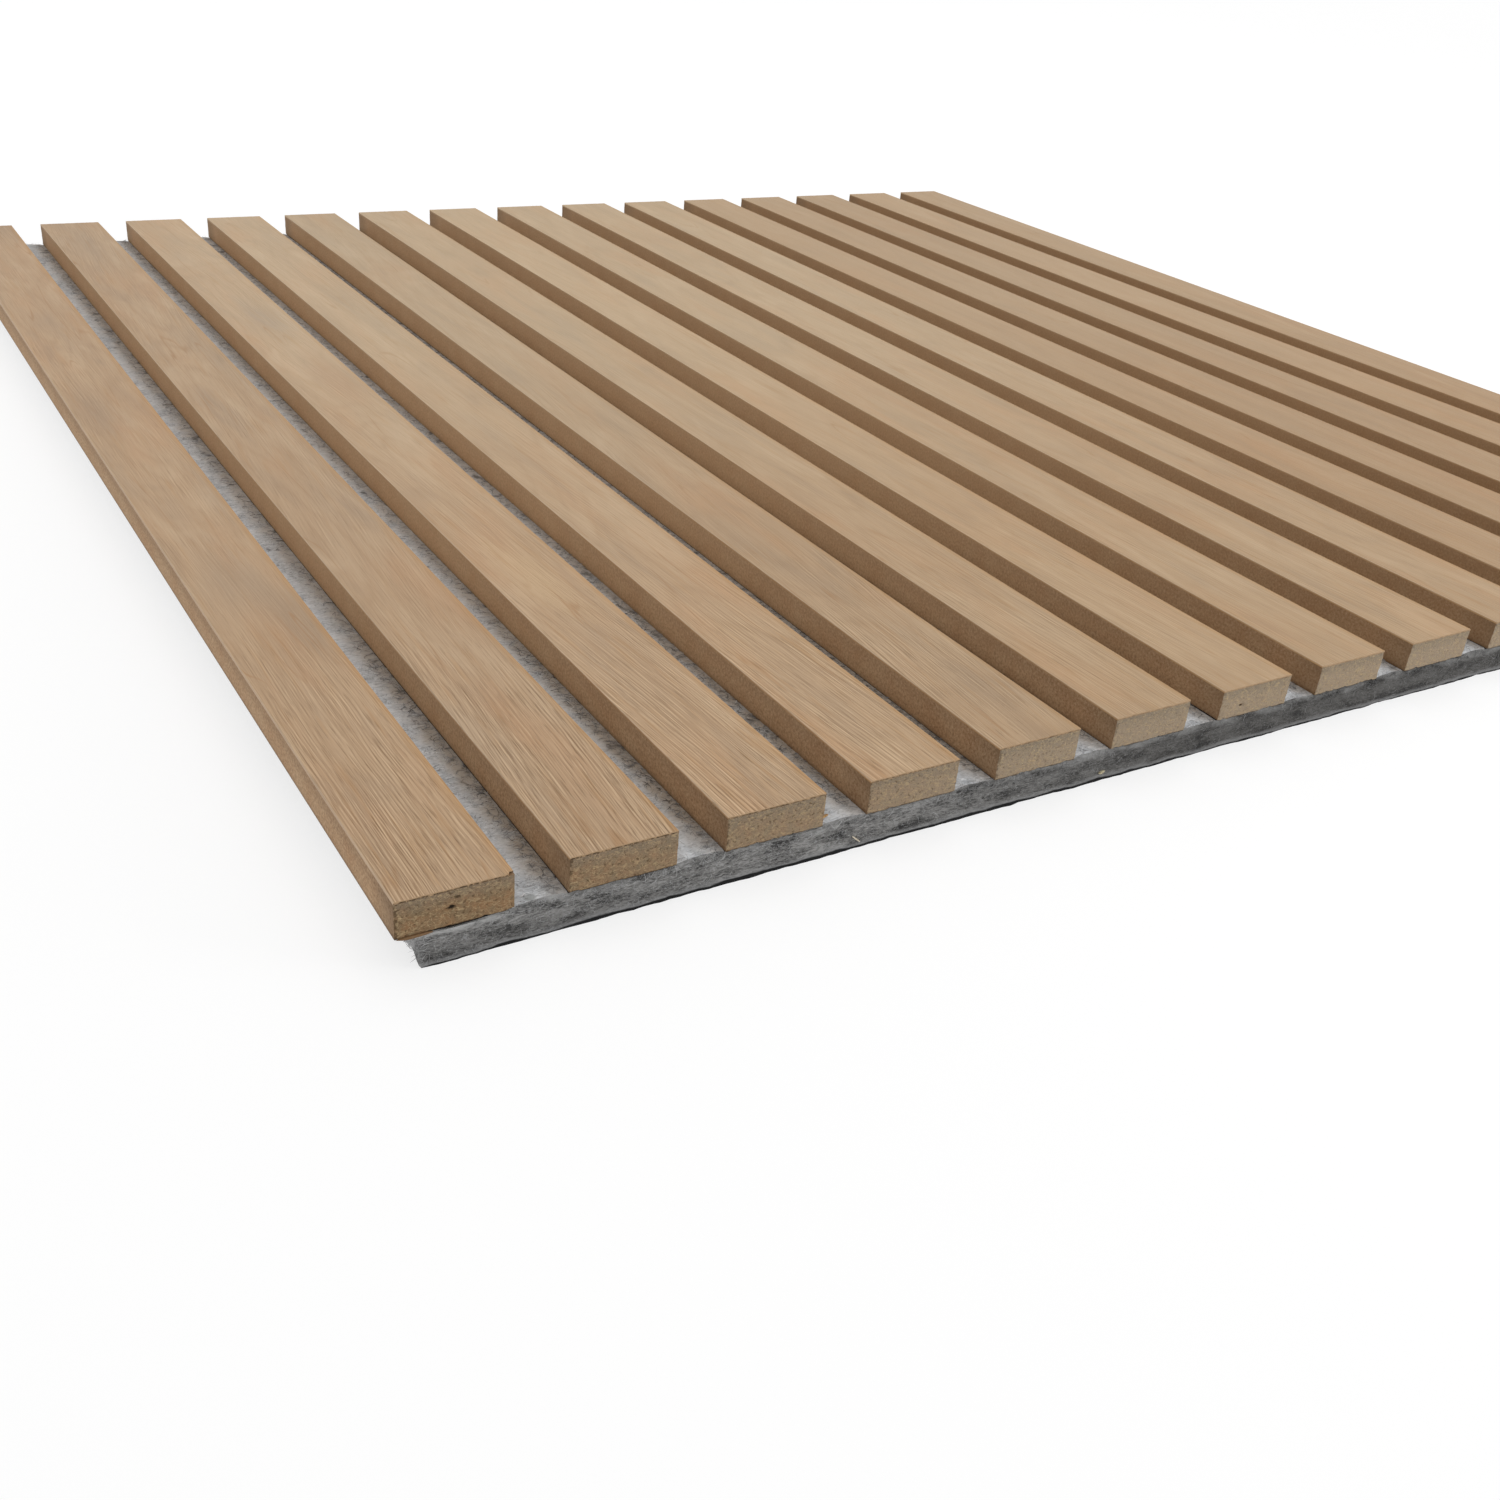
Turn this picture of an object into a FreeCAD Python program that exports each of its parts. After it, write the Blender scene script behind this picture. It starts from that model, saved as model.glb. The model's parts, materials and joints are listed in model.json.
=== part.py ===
import FreeCAD, Part
import os
import Sketcher

# Acoustic slat wall panel: a row of oak-veneered MDF slats glued to a board of grey needle felt.
# It lies on its felt back with the slats up. X runs across the slats, Y runs along them and Z points
# out of the wall. The origin is the middle of the panel's footprint, on the back of the felt.

document = FreeCAD.newDocument("AcousticSlatPanel")

# Driving dimensions, in millimetres apart from the count
DIMENSIONS = (
    ("slat_count", 15, "slats side by side"),
    ("slat_width", 27, "width of one slat"),
    ("slat_gap", 13, "open groove between two slats"),
    ("panel_length", 600, "length of the slats and of the felt board"),
    ("felt_thickness", 9, "thickness of the felt board"),
    ("felt_setback", 1.2, "how far the felt's top edge lies inside the first slat's outer edge"),
    ("felt_undercut", 3.6, "how much further in the slanting blade leaves the felt's back edge"),
    ("core_thickness", 9, "thickness of a slat's MDF core"),
    ("veneer_thickness", 0.6, "thickness of the oak veneer on the core"),
    ("veneer_easing", 0.25, "radius that sanding leaves on the veneer's long edges"),
)

sizes = document.addObject("Spreadsheet::Sheet", "Sizes")
for row, (alias, value, meaning) in enumerate(DIMENSIONS, start=1):
    sizes.set(f"A{row}", meaning)
    sizes.set(f"B{row}", str(value))
    sizes.setAlias(f"B{row}", alias)
document.recompute()
slat_count = int(sizes.slat_count)

# Each slat has one groove to its right. The groove beside the last slat is the felt's joining lip,
# so that the next panel's first slat follows at the same pitch.
SLAT_PITCH = "(Sizes.slat_width + Sizes.slat_gap)"
PANEL_WIDTH = f"(floor(Sizes.slat_count) * {SLAT_PITCH})"
LEFT_EDGE = f"(-{PANEL_WIDTH} / 2)"
CORE_BASE = "Sizes.felt_thickness"
VENEER_BASE = "(Sizes.felt_thickness + Sizes.core_thickness)"

# The sketch's own origin point and horizontal axis, as its constraints name them
AXIS = -1
ORIGIN = (-1, 1)
START = 1
END = 2


def add_body(label, left, base):
    """A body with its left edge and its underside at the places that two expressions give."""
    body = document.addObject("PartDesign::Body", label)
    body.Label = label
    body.setExpression("Placement.Base.x", left)
    body.setExpression("Placement.Base.z", base)
    return body


def add_cross_section(body, corners):
    """A closed outline of straight lines in the body's upright plane across the slats.

    The corners are rough places, anticlockwise from the lower left. Constraints then fix them.
    """
    sketch = body.newObject("Sketcher::SketchObject", f"{body.Label}_section")
    plane = next(item for item in body.Origin.OriginFeatures if item.Role == "XZ_Plane")
    sketch.AttachmentSupport = [(plane, "")]
    sketch.MapMode = "FlatFace"
    points = [FreeCAD.Vector(x, z, 0) for x, z in corners]
    for start, end in zip(points, points[1:] + points[:1]):
        sketch.addGeometry(Part.LineSegment(start, end), False)
    for line in range(len(points)):
        following = (line + 1) % len(points)
        sketch.addConstraint(Sketcher.Constraint("Coincident", line, END, following, START))
    return sketch


def add_dimension(sketch, name, expression, *constraint):
    """A named dimension of a sketch that follows an expression."""
    index = sketch.addConstraint(Sketcher.Constraint(*constraint))
    sketch.renameConstraint(index, name)
    sketch.setExpression(f"Constraints.{name}", expression)


def add_panel_length(body, sketch):
    """The section drawn out along the slats, as far to the front as to the back."""
    pad = body.newObject("PartDesign::Pad", f"{body.Label}_pad")
    pad.Profile = sketch
    pad.SideType = "Symmetric"
    pad.setExpression("Length", "Sizes.panel_length")


def add_strip(label, number, base, thickness_alias):
    """A straight strip as wide as a slat, in that slat's place: its section is a plain rectangle."""
    body = add_body(label, f"{LEFT_EDGE} + {number - 1} * {SLAT_PITCH}", base)
    width = sizes.slat_width
    thickness = sizes.get(thickness_alias)
    sketch = add_cross_section(body, [(0, 0), (width, 0), (width, thickness), (0, thickness)])
    bottom, right, top, left_side = range(4)
    sketch.addConstraint(Sketcher.Constraint("Coincident", bottom, START, *ORIGIN))
    sketch.addConstraint(Sketcher.Constraint("Horizontal", bottom))
    sketch.addConstraint(Sketcher.Constraint("Vertical", right))
    sketch.addConstraint(Sketcher.Constraint("Horizontal", top))
    sketch.addConstraint(Sketcher.Constraint("Vertical", left_side))
    add_dimension(
        sketch, "width", "Sizes.slat_width",
        "DistanceX", bottom, START, bottom, END, width,
    )
    add_dimension(
        sketch, "thickness", f"Sizes.{thickness_alias}",
        "DistanceY", right, START, right, END, thickness,
    )
    add_panel_length(body, sketch)
    return body


def ease_long_top_edges(body):
    """The two long edges of a strip's face, rounded as a sanding pad leaves them."""
    document.recompute()
    strip = body.Tip
    top = strip.Shape.BoundBox.ZMax
    long_top_edges = []
    for number, edge in enumerate(strip.Shape.Edges, start=1):
        ends = [vertex.Point for vertex in edge.Vertexes]
        on_top = all(abs(point.z - top) < Part.Precision.confusion() for point in ends)
        along_slat = abs(ends[0].x - ends[1].x) < Part.Precision.confusion()
        if on_top and along_slat:
            long_top_edges.append(f"Edge{number}")
    easing = body.newObject("PartDesign::Fillet", f"{body.Label}_easing")
    easing.Base = (strip, long_top_edges)
    easing.setExpression("Radius", "Sizes.veneer_easing")


def make_felt_backing():
    """One board of needle felt under all the slats.

    Its left edge was cut with a slanting blade, so that it hides under the first slat. On the right
    it runs on past the last slat by the width of one groove.
    """
    body = add_body("felt_backing", LEFT_EDGE, "0")
    top_left = sizes.felt_setback
    back_left = sizes.felt_setback + sizes.felt_undercut
    right_edge = slat_count * (sizes.slat_width + sizes.slat_gap)
    thickness = sizes.felt_thickness
    sketch = add_cross_section(
        body,
        [(back_left, 0), (right_edge, 0), (right_edge, thickness), (top_left, thickness)],
    )
    back, right, face, slanting_edge = range(4)
    sketch.addConstraint(Sketcher.Constraint("PointOnObject", back, START, AXIS))
    sketch.addConstraint(Sketcher.Constraint("Horizontal", back))
    sketch.addConstraint(Sketcher.Constraint("Vertical", right))
    sketch.addConstraint(Sketcher.Constraint("Horizontal", face))
    add_dimension(
        sketch, "right_edge", PANEL_WIDTH,
        "DistanceX", *ORIGIN, back, END, right_edge,
    )
    add_dimension(
        sketch, "thickness", "Sizes.felt_thickness",
        "DistanceY", right, START, right, END, thickness,
    )
    add_dimension(
        sketch, "setback", "Sizes.felt_setback",
        "DistanceX", *ORIGIN, face, END, top_left,
    )
    add_dimension(
        sketch, "undercut", "Sizes.felt_undercut",
        "DistanceX", slanting_edge, START, slanting_edge, END, sizes.felt_undercut,
    )
    add_panel_length(body, sketch)
    return body


def make_slat_core(number):
    """The MDF core of one slat, sawn square and glued to the felt."""
    return add_strip(f"slat_core_{number:02d}", number, CORE_BASE, "core_thickness")


def make_slat_veneer(number):
    """The oak veneer pressed on the face of one core, with its long edges eased."""
    body = add_strip(f"slat_veneer_{number:02d}", number, VENEER_BASE, "veneer_thickness")
    ease_long_top_edges(body)
    return body


# The panel as it is put together: the felt, then the slats from left to right
sub_parts = [make_felt_backing()]
for slat_number in range(1, slat_count + 1):
    sub_parts.append(make_slat_core(slat_number))
    sub_parts.append(make_slat_veneer(slat_number))
document.recompute()

# Nothing is written unless every object of the document was built
for item in document.Objects:
    if "Invalid" in item.State or "Error" in item.State:
        raise RuntimeError(f"{item.Label} was not built: {item.State}")
for body in sub_parts:
    if body.Shape.isNull() or not body.Shape.isValid() or len(body.Shape.Solids) != 1:
        raise RuntimeError(f"{body.Label} is not one sound solid")

os.makedirs("parts", exist_ok=True)
for body in sub_parts:
    body.Shape.exportStep(f"parts/{body.Label}.step")
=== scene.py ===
import json
import math

import bmesh
import bpy
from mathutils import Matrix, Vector, noise

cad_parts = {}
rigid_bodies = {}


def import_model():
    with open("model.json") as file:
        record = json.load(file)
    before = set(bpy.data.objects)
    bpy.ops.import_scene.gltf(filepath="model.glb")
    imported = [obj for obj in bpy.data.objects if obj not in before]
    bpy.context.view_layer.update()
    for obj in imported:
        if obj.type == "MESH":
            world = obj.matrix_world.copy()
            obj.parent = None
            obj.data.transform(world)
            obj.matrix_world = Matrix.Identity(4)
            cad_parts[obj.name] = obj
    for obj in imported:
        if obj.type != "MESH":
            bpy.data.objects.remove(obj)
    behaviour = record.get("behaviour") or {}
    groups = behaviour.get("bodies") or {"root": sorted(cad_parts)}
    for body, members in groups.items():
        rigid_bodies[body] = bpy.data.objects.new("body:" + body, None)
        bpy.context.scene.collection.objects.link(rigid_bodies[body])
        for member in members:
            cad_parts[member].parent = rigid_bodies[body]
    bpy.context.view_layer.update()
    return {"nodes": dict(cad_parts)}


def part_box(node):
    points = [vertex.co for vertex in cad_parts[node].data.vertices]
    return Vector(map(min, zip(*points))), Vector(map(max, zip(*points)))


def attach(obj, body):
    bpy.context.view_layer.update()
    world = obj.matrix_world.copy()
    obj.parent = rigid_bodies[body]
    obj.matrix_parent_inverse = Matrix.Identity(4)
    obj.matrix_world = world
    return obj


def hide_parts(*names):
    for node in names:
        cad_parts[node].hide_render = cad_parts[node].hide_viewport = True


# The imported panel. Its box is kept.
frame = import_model()

# Felt board: grey needle-punched polyester felt, pressed flat under the slats and a little proud in
# the grooves between them. A blade cut its edges: the left one slants in under the first slat, and
# the front and back ones keep a thin hard burr along the bottom.
MM = 0.001
felt_low, felt_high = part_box("felt_backing")
slat_count = sum(name.startswith("slat_core") for name in frame["nodes"])
core_boxes = [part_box(f"slat_core_{number:02d}") for number in range(1, slat_count + 1)]
first_left = core_boxes[0][0].x
slat_width = core_boxes[0][1].x - first_left
slat_pitch = core_boxes[1][0].x - first_left
groove_width = slat_pitch - slat_width
felt_undercut = 3.6 * MM
felt_end_zone = 14 * MM
groove_cuts = 9
slat_cuts = 19
height_cuts = 11
length_cuts = 285
end_zone_cuts = 9


def near(a, b):
    """True where two places along an axis are the same."""
    return abs(a - b) < 0.01 * MM


def along(a, b, axis):
    """True where the edge from a to b is parallel to an axis."""
    return all(near(a[other], b[other]) for other in range(3) if other != axis)


def begin_box(name, low, high):
    """A box between two corners, in edit mode, with its place in its mesh and its object at the origin."""
    bpy.ops.object.select_all(action="DESELECT")
    bpy.ops.mesh.primitive_cube_add(size=1, location=(low + high) / 2, scale=high - low)
    piece = bpy.context.object
    piece.name = name
    piece.data.name = name
    bpy.ops.object.transform_apply(location=True, rotation=True, scale=True)
    bpy.ops.object.mode_set(mode="EDIT")
    bpy.ops.mesh.select_mode(type="EDGE")
    return piece


def select_edges(piece, wanted):
    """Selects the edges, in edit mode, whose two ends pass a test."""
    bpy.ops.mesh.select_all(action="DESELECT")
    shape = bmesh.from_edit_mesh(piece.data)
    for edge in shape.edges:
        edge.select_set(wanted(edge.verts[0].co, edge.verts[1].co))
    bmesh.update_edit_mesh(piece.data)


def divide_edges(piece, cuts, wanted):
    """Divides the edges, in edit mode, whose two ends pass a test."""
    select_edges(piece, wanted)
    bpy.ops.mesh.subdivide(number_cuts=cuts)


def on_cut_end(a):
    """True on the felt's front or back edge."""
    return near(a.y, felt_low.y) or near(a.y, felt_high.y)


def crosses_groove(a, b):
    """True for an edge that crosses a groove or the joining lip."""
    return along(a, b, 0) and near(abs(a.x - b.x), groove_width)


def crosses_slat(a, b):
    """True for an edge that crosses under a slat."""
    return along(a, b, 0) and abs(a.x - b.x) > groove_width + MM


def on_side(a):
    """True on the felt's slanting left edge or on its right edge."""
    return a.x < felt_low.x + felt_undercut + 0.1 * MM or near(a.x, felt_high.x)


def runs_along_face(a, b):
    """True for an edge along the slats on the felt's face or sides."""
    return along(a, b, 1) and (near(a.z, felt_high.z) or on_side(a))


felt_board = begin_box("felt_board", felt_low, felt_high)
select_edges(felt_board, lambda a, b: near(a.x + b.x, 2 * felt_low.x) and near(a.z + b.z, 0))
bpy.ops.transform.translate(value=(felt_undercut, 0, 0))
slat_sides = [low.x for low, high in core_boxes[1:]] + [high.x for low, high in core_boxes]
for x in slat_sides:
    bpy.ops.mesh.select_all(action="SELECT")
    bpy.ops.mesh.bisect(plane_co=(x, 0, 0), plane_no=(1, 0, 0))
for y in (felt_low.y + felt_end_zone, felt_high.y - felt_end_zone):
    bpy.ops.mesh.select_all(action="SELECT")
    bpy.ops.mesh.bisect(plane_co=(0, y, 0), plane_no=(0, 1, 0))
divide_edges(
    felt_board, groove_cuts, lambda a, b: crosses_groove(a, b) and (near(a.z, felt_high.z) or on_cut_end(a))
)
divide_edges(felt_board, slat_cuts, lambda a, b: crosses_slat(a, b) and on_cut_end(a))
divide_edges(felt_board, height_cuts, lambda a, b: abs(a.z - b.z) > MM)
divide_edges(
    felt_board, length_cuts, lambda a, b: runs_along_face(a, b) and abs(a.y - b.y) > 2 * felt_end_zone
)
divide_edges(
    felt_board, end_zone_cuts, lambda a, b: runs_along_face(a, b) and near(abs(a.y - b.y), felt_end_zone)
)
bpy.ops.object.mode_set(mode="OBJECT")

# The felt's uneven shape. Lumps are pairs of a weight and a size, and a face looks along an axis where
# its normal has more than a certain share of that axis.
groove_margin = 0.02
pillow_height = 0.35 * MM
lump_height = 0.4 * MM
lump_rise = 3
groove_lumps = ((0.7, 7 * MM), (0.5, 2.6 * MM))
cut_roughness = 0.35 * MM
cut_streak_stretch = 6
cut_streaks = (0.5, 1.2 * MM)
cut_lumps = (0.6, 2.4 * MM)
cut_inset = 0.3
burr_reach = 0.45 * MM
burr_height = 1.2 * MM
burr_mean = 0.75
burr_lumps = (0.5, 9 * MM)
burr_wave = 0.5 * MM
burr_waves = ((1, 23 * MM), (0.7, 4.3 * MM))
edge_rounding = 0.7 * MM
rounding_depth = 1.6 * MM
side_hollow = 1.4 * MM
side_lumps = ((1, 4 * MM), (1, 1.8 * MM))
side_inset = 0.5
corner_rounding = 0.8 * MM
corner_height = 1.3 * MM
side_retreat = 1.5 * MM
retreat_length = 9 * MM
loose_glue_gap = 0.3 * MM
glue_gap_mean = 0.4
glue_gap_least = 0.1
glue_gap_lumps = (1, 31 * MM)
parted_middle = -287 * MM
parted_reach = 10 * MM
parted_depth = 0.65 * MM
looks_along = 0.7
soft_crease = math.radians(50)


def lumps(place, *layers):
    """Smooth uneven numbers around 0: a sum of layers, each with its weight and the size of its lumps."""
    return sum(weight * noise.noise(place / size) for weight, size in layers)


def groove_share(x):
    """How far across its groove a place lies: 0 to 1 in a groove, below 0 under a slat."""
    return ((x - first_left) % slat_pitch - slat_width) / groove_width


cut_faces = {face.index for face in felt_board.data.polygons if abs(face.normal.z) < looks_along}
for vertex in felt_board.data.vertices:
    place = vertex.co.copy()
    share = groove_share(place.x)
    facing = -1 if near(place.y, felt_low.y) else 1 if near(place.y, felt_high.y) else 0
    if near(place.z, felt_high.z):
        if groove_margin < share < 1 - groove_margin:
            pillow = math.sin(math.pi * share)
            uneven = lumps(place, *groove_lumps) * min(1, lump_rise * pillow)
            vertex.co.z += pillow_height * pillow + lump_height * uneven
        elif facing:
            gap = max(glue_gap_least, glue_gap_mean + lumps(place, glue_gap_lumps))
            vertex.co.z -= loose_glue_gap * gap
            parted = 1 - ((place.x - parted_middle) / parted_reach) ** 2
            if facing == -1 and parted > 0:
                vertex.co.z -= parted_depth * parted
    if facing:
        along_cut = Vector((place.x / cut_streak_stretch, 0, place.z))
        uneven = lumps(along_cut, cut_streaks) + lumps(place, cut_lumps) - cut_inset
        burr = max(0, 1 - place.z / burr_height) * (burr_mean + lumps(place, burr_lumps))
        rounded = max(0, 1 - (felt_high.z - place.z) / rounding_depth) ** 2
        vertex.co.y += facing * (cut_roughness * uneven + burr_reach * burr - edge_rounding * rounded)
        if near(place.z, felt_low.z):
            vertex.co.z += burr_wave * sum(max(0, lumps(place, wave)) for wave in burr_waves)
    if on_side(place):
        outward = -1 if place.x < 0 else 1
        hollow = math.sin(math.pi * place.z / felt_high.z)
        uneven = lumps(place, *side_lumps) - side_inset
        rounded = max(0, 1 - place.z / corner_height) ** 2
        vertex.co.x += outward * (cut_roughness * uneven - side_hollow * hollow - corner_rounding * rounded)
        if outward == -1:
            from_end = min(place.y - felt_low.y, felt_high.y - place.y)
            vertex.co.x += side_retreat * min(1, from_end / retreat_length) * (1 - place.z / felt_high.z)
bpy.ops.object.shade_smooth_by_angle(angle=soft_crease)


def linear(colour):
    """An sRGB hex colour as linear red, green, blue and alpha."""
    channels = [int(colour[place:place + 2], 16) / 255 for place in (1, 3, 5)]
    return [c / 12.92 if c <= 0.04045 else ((c + 0.055) / 1.055) ** 2.4 for c in channels] + [1.0]


def add_node(tree, kind, inputs, **settings):
    """A node with its settings, where a Mix mixes colours. Each input, by its name or place, is a value,
    an sRGB hex colour, an output or a whole node."""
    node = tree.nodes.new(kind if tree.type == "GEOMETRY" else "ShaderNode" + kind)
    if kind == "Mix":
        node.data_type = "RGBA"
    for name, value in settings.items():
        setattr(node, name, value)
    sockets = [socket for socket in node.inputs if socket.enabled]
    for key, given in inputs.items():
        socket = sockets[key] if isinstance(key, int) else next(s for s in sockets if s.name == key)
        if isinstance(given, bpy.types.Node):
            given = next(output for output in given.outputs if output.enabled)
        if isinstance(given, bpy.types.NodeSocket):
            tree.links.new(given, socket)
        else:
            socket.default_value = linear(given) if socket.type == "RGBA" else given
    return node


def begin_material(name):
    """A material with no nodes yet but the place on the piece in millimetres."""
    material = bpy.data.materials.new(name)
    material.use_nodes = True
    tree = material.node_tree
    tree.nodes.clear()
    metres = add_node(tree, "TexCoord", {}).outputs["Object"]
    place = add_node(tree, "Mapping", {"Vector": metres, "Scale": (1000, 1000, 1000)})
    return material, tree, place


def share_of(low, high, most=1.0, least=0.0):
    """The settings of a Map Range from the least at low to the most at high."""
    return {"From Min": low, "From Max": high, "To Min": least, "To Max": most}


def tinted(tree, colour, pattern, ramp, tint):
    """A colour that turns to a tint where a pattern passes along a ramp: its low, its high and the most."""
    share = add_node(tree, "MapRange", {"Value": pattern, **share_of(*ramp)})
    return add_node(tree, "Mix", {"Factor": share, "A": colour, "B": tint})


def hair_lines(tree, place, per_mm, offset, half_width):
    """Thin curly lines, 1 in their middle and 0 beside: where a smooth noise passes through its mean."""
    moved = add_node(tree, "Mapping", {"Vector": place, "Location": offset})
    swirl = add_node(tree, "TexNoise", {"Vector": moved, "Scale": per_mm, "Detail": 1.0, "Distortion": 1.0})
    away = add_node(tree, "Math", {0: swirl, 1: 0.5}, operation="SUBTRACT")
    distance = add_node(tree, "Math", {0: away}, operation="ABSOLUTE")
    return add_node(tree, "MapRange", {"Value": distance, **share_of(half_width, 0.2 * half_width)})


# The felt's face: matt polyester fibres in every direction, tangles of dark hairs among the grey, a smudge
# of glue at the front of the first groove, and sawdust, fuzz and painted shade that darken it along the
# foot of each slat, less at the very front, where painted light falls. Under the slats it is darkened with
# glue and painted shade.
felt_face, tree, place = begin_material("needle_felt_face")
cloud = add_node(tree, "TexNoise", {"Vector": place, "Scale": 0.16, "Detail": 4.0})
grey = tinted(tree, "#b4b8bc", cloud, (0.3, 0.7), "#dde0e3")
turned = add_node(tree, "Mapping", {"Vector": place, "Rotation": (0, 0, 0.3), "Scale": (0.5, 1.4, 1)})
hair = add_node(tree, "TexNoise", {"Vector": turned, "Scale": 1.0, "Detail": 3.0, "Distortion": 1.2})
pale = tinted(tree, grey, hair, (0.52, 0.68, 0.65), "#eceef0")
hairy = tinted(tree, pale, hair, (0.46, 0.32, 0.45), "#7c7b7b")
x, y, z = add_node(tree, "SeparateXYZ", {"Vector": place}).outputs
from_left = add_node(tree, "Math", {0: x, 1: -first_left / MM}, operation="ADD")
across = add_node(tree, "Math", {0: from_left, 1: slat_pitch / MM}, operation="MODULO")
# Sawdust and painted shade along the foot of each slat.
foot = add_node(tree, "MapRange", {"Value": across, **share_of(slat_pitch / MM - 9, slat_pitch / MM)})
patchy = add_node(tree, "Math", {0: foot, 1: cloud}, operation="MULTIPLY")
tapering = add_node(tree, "MapRange", {"Value": y, **share_of(-270, -100, 0.62, 0.85)})
# Painted light at the very front halves the dust and painted shade there.
less_at_lit_front = add_node(tree, "MapRange", {"Value": y, **share_of(-298, -286, 1.0, 0.5)})
most_dust_and_shade = add_node(tree, "Math", {0: tapering, 1: less_at_lit_front}, operation="MULTIPLY")
dusted_and_shaded = tinted(tree, hairy, patchy, (0.06, 0.4, most_dust_and_shade), "#a3937f")
crumb = add_node(tree, "TexNoise", {"Vector": place, "Scale": 0.2, "Detail": 3.0, "Distortion": 0.5})
# Dark tufts and painted shade at the foot of each slat.
strewn = add_node(tree, "Math", {0: foot, 1: 0.13, 2: crumb}, operation="MULTIPLY_ADD")
dusted_and_shaded = tinted(tree, dusted_and_shaded, strewn, (0.69, 0.81, 0.7), "#3b3531")
dark_hairs = hair_lines(tree, place, 0.5, (15, 5, 0), 0.03)
knots = add_node(tree, "MapRange", {"Value": cloud, **share_of(0.56, 0.44, 0.6)})
tangle = add_node(tree, "Math", {0: dark_hairs, 1: knots}, operation="MULTIPLY")
dusted_and_shaded = add_node(tree, "Mix", {"Factor": tangle, "A": dusted_and_shaded, "B": "#4b4744"})
smudge_middle = (-268.6, -298.0, 9.2)
apart = add_node(tree, "VectorMath", {0: place, 1: smudge_middle}, operation="DISTANCE")
dusted_and_shaded = tinted(tree, dusted_and_shaded, apart.outputs["Value"], (1.7, 1.0, 0.5), "#74766f")
# Glue and painted shade under the slats.
dusted_and_shaded = tinted(tree, dusted_and_shaded, across, (slat_width / MM, slat_width / MM - 0.4), "#241f1a")
fluff = add_node(tree, "TexNoise", {"Vector": place, "Scale": 0.9, "Detail": 5.0, "Roughness": 0.7})
height = add_node(tree, "Math", {0: fluff, 1: hair}, operation="ADD")
bump = add_node(tree, "Bump", {"Strength": 0.7, "Distance": 0.6 * MM, "Height": height})
shader = add_node(tree, "BsdfPrincipled", {
    "Base Color": dusted_and_shaded, "Roughness": 0.95, "Specular IOR Level": 0.2, "Sheen Weight": 0.1, "Normal": bump,
})
add_node(tree, "OutputMaterial", {"Surface": shader})

# The felt's cut edge: the blade packs the fibres into streaks along the board, with black tufts and dark
# and pale curly hairs. It is darker than the face and darkest towards the right, with a painted highlight
# just under the face. Along the bottom run a pale crushed rim and the burr, with a thin black line of
# painted shade under it, which thins out towards the right. Under the first slat, where the felt has come
# away, a stronger painted highlight lies on its upper rim.
felt_edge, tree, place = begin_material("needle_felt_cut_edge")
stretched = add_node(tree, "Mapping", {"Vector": place, "Scale": (0.6, 0.6, 2.6)})
streak = add_node(tree, "TexNoise", {
    "Vector": stretched, "Scale": 1.0, "Detail": 6.0, "Roughness": 0.7, "Distortion": 0.8,
})
dragged = add_node(tree, "Mapping", {"Vector": place, "Scale": (0.1, 0.1, 0.3)})
blotch = add_node(tree, "TexNoise", {"Vector": dragged, "Scale": 1.0, "Detail": 3.0})
both = add_node(tree, "Math", {0: blotch, 1: 0.5, 2: streak}, operation="MULTIPLY_ADD")
grey = tinted(tree, "#403f3e", both, (0.62, 0.87), "#9e9d9b")
x, y, z = add_node(tree, "SeparateXYZ", {"Vector": place}).outputs

# Darker on the right, a painted highlight near the top, darker low on the left, and a stronger painted
# highlight at the loose rim.
edge_tone_and_light = tinted(tree, grey, x, (-190, -80, 0.72), "#403e3c")
# Painted highlight just under the face, where the rounded upper arris catches the light.
upward = add_node(tree, "MapRange", {"Value": z, **share_of(5, 9)})
upper = add_node(tree, "Math", {0: upward, 1: blotch}, operation="MULTIPLY")
edge_tone_and_light = tinted(tree, edge_tone_and_light, upper, (0.25, 0.6, 0.6), "#aaaaa9")
leftward = add_node(tree, "MapRange", {"Value": x, **share_of(-200, -260, 0.35)})
edge_tone_and_light = tinted(tree, edge_tone_and_light, z, (6.5, 4.0, leftward), "#454443")
# A stronger painted highlight on the loose rim under the first slat.
loose = add_node(tree, "MapRange", {"Value": x, **share_of(-270, -276, 0.45)})
edge_tone_and_light = tinted(tree, edge_tone_and_light, z, (7.0, 7.9, loose), "#cbcbca")

# Tangles of dark hairs, black tufts, and stray pale hairs.
dark_hairs = hair_lines(tree, place, 0.7, (0, 0, 0), 0.035)
knots = add_node(tree, "MapRange", {"Value": blotch, **share_of(0.55, 0.4, 0.65)})
tangle = add_node(tree, "Math", {0: dark_hairs, 1: knots}, operation="MULTIPLY")
tangled = add_node(tree, "Mix", {"Factor": tangle, "A": edge_tone_and_light, "B": "#232324"})
tufted = add_node(tree, "MapRange", {"Value": x, **share_of(-240, -170, 0.5)})
tangled = tinted(tree, tangled, blotch, (0.41, 0.3, tufted), "#2b2b2c")
pale_hairs = hair_lines(tree, place, 0.55, (40, 70, 20), 0.02)
scarcer = add_node(tree, "MapRange", {"Value": x, **share_of(-190, -80, 0.2, 0.5)})
strays = add_node(tree, "Math", {0: pale_hairs, 1: scarcer}, operation="MULTIPLY")
hairy = add_node(tree, "Mix", {"Factor": strays, "A": tangled, "B": "#b0b1b2"})

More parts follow.
